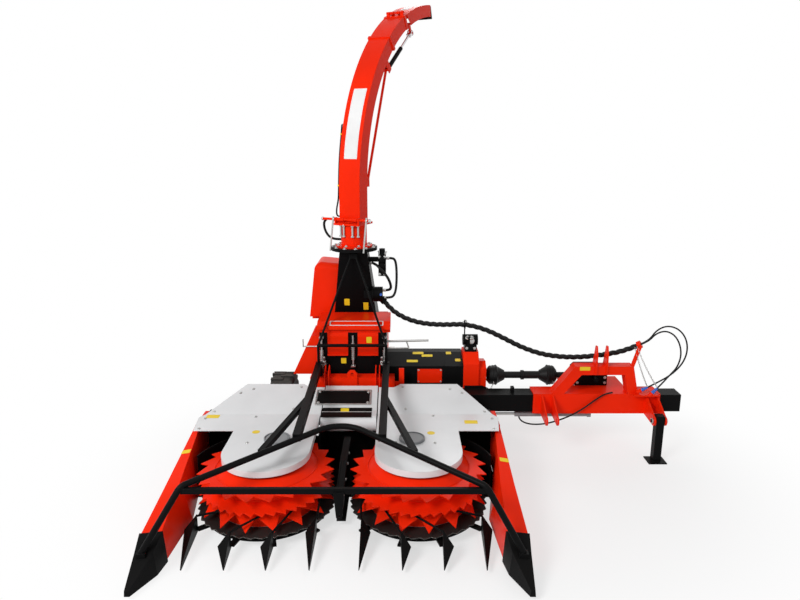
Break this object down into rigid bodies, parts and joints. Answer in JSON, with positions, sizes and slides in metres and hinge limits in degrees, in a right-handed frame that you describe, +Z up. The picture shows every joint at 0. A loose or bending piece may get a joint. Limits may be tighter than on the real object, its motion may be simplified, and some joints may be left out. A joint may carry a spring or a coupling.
{
  "type": "mounted forage harvester",
  "caption": "Tractor-mounted maize forage harvester with toothed gathering drums, push bar, offset three-point headstock, running wheel and a turning, folding discharge spout.",
  "frame": {"origin": "bottom centre of the whole machine's box, without the hoses and their couplers, on the ground it stands on", "axes": "+X along the row of drums towards the three-point headstock, +Y backwards away from the crop, +Z up"},
  "size_m": [3.7408, 3.5982, 3.6339],
  "materials": {
    "red_paint": "gloss enamel",
    "black_paint": "satin enamel",
    "white_paint": "gloss enamel",
    "grey_steel": "worn steel",
    "galvanised": "zinc plated",
    "chromed": "polished",
    "black_plastic": "moulded",
    "hose_rubber": "matt",
    "tyre": "moulded rubber",
    "blue_plastic": "moulded"
  },
  "bodies": {
    "machine": {"belt_guard": "red_paint", "centre_guide": "black_paint", "centre_panel": "galvanised", "chopper_housing": "red_paint", "chute_tower": "black_paint", "coupling_beam": "red_paint", "crop_channel": "red_paint", "crop_rotors": "grey_steel", "divider_tips": "black_paint", "dividers": "red_paint", "driveline_cover": "black_paint", "drum_covers": "white_paint", "feed_drive_guard": "red_paint", "feed_flaps": "red_paint", "feed_hood": "red_paint", "feed_housing": "black_paint", "feed_springs": "grey_steel", "fingers": "black_paint", "hand_levers": "black_paint", "header_floor": "black_paint", "header_frame": "red_paint", "hose_bundle": "hose_rubber", "hub_caps": "galvanised", "main_tube": "black_paint", "pto_guard_left": "black_plastic", "push_bar": "black_paint", "push_cross_bar": "black_paint", "push_stays": "black_paint", "shift_rod": "chromed", "shift_unit": "black_paint", "side_gearcase": "red_paint", "slew_motor": "black_paint", "upper_rods": "black_paint", "wheel_axle": "black_paint"},
    "drum_left": {"drum_left": "red_paint", "knife_disc_left": "black_paint"},
    "drum_right": {"drum_right": "red_paint", "knife_disc_right": "black_paint"},
    "wheel": {"tyre": "tyre", "wheel_rim": "red_paint"},
    "headstock": {"sleeve": "red_paint", "lower_link_lugs": "red_paint", "top_link_lugs": "red_paint", "mast_frame": "red_paint", "input_gearbox": "black_paint", "shift_cylinder": "black_paint", "pto_guard_right": "black_plastic", "tractor_hose_a": "hose_rubber", "tractor_hose_b": "hose_rubber", "couplers": "blue_plastic"},
    "stand": {"stand_leg": "black_paint"},
    "spout_collar": {"spout_collar": "red_paint", "latch_levers": "grey_steel"},
    "spout": {"spout_duct": "red_paint", "spout_upper_duct": "red_paint", "linkage_rod": "red_paint"},
    "end_flap": {"end_flap": "red_paint", "tip_deflector": "black_paint"},
    "flap_cylinder": {"flap_cylinder": "black_paint"},
    "flap_rod": {"flap_cylinder_rod": "chromed"}
  },
  "joints": [
    {"name": "drum_left_spin", "type": "hinge", "parent": "machine", "child": "drum_left", "pos_m": [-1.23, -0.91412, 0.2], "axis": [0, 0, 1], "continuous": true},
    {"name": "drum_right_spin", "type": "hinge", "parent": "machine", "child": "drum_right", "pos_m": [-0.23, -0.91412, 0.2], "axis": [0, 0, 1], "continuous": true},
    {"name": "wheel_spin", "type": "hinge", "parent": "machine", "child": "wheel", "pos_m": [-1.342, 0.38588, 0.25], "axis": [1, 0, 0], "continuous": true},
    {"name": "headstock_shift", "type": "slide", "parent": "machine", "child": "headstock", "axis": [1, 0, 0], "range_m": [-0.13, 0.13], "deforming": ["hose_bundle"]},
    {"name": "stand_fold", "type": "hinge", "parent": "headstock", "child": "stand", "pos_m": [1.63, -0.21411, 0.335], "axis": [1, 0, 0], "range_deg": [-90, 0]},
    {"name": "spout_turn", "type": "hinge", "parent": "machine", "child": "spout_collar", "pos_m": [-0.73, 0.48589, 1.545], "axis": [0, 0, 1], "range_deg": [-100, 100]},
    {"name": "spout_fold", "type": "hinge", "parent": "spout_collar", "child": "spout", "pos_m": [-0.7748, 0.38982, 1.8], "axis": [0.9063, -0.4226, 0], "range_deg": [0, 90]},
    {"name": "flap_tilt", "type": "hinge", "parent": "spout", "child": "end_flap", "pos_m": [-0.39358, 1.20733, 3.48563], "axis": [0.9063, -0.4226, 0], "range_deg": [-18, 12]},
    {"name": "flap_cylinder_pivot", "type": "hinge", "parent": "spout", "child": "flap_cylinder", "pos_m": [-0.45712, 0.91019, 2.99355], "axis": [0.9063, -0.4226, 0], "range_deg": [-1.39, 1.03]},
    {"name": "flap_rod_slide", "type": "slide", "parent": "flap_cylinder", "child": "flap_rod", "axis": [0.3383, 0.7254, 0.5995], "range_m": [-0.0725, 0.0497]}
  ],
  "couplings": [
    {"joint": "drum_right_spin", "follows": "drum_left_spin", "ratio": -1},
    {"joint": "flap_cylinder_pivot", "follows": "flap_tilt", "ratio": 0.06053},
    {"joint": "flap_rod_slide", "follows": "flap_tilt", "m_per_rad": 0.21814}
  ]
}
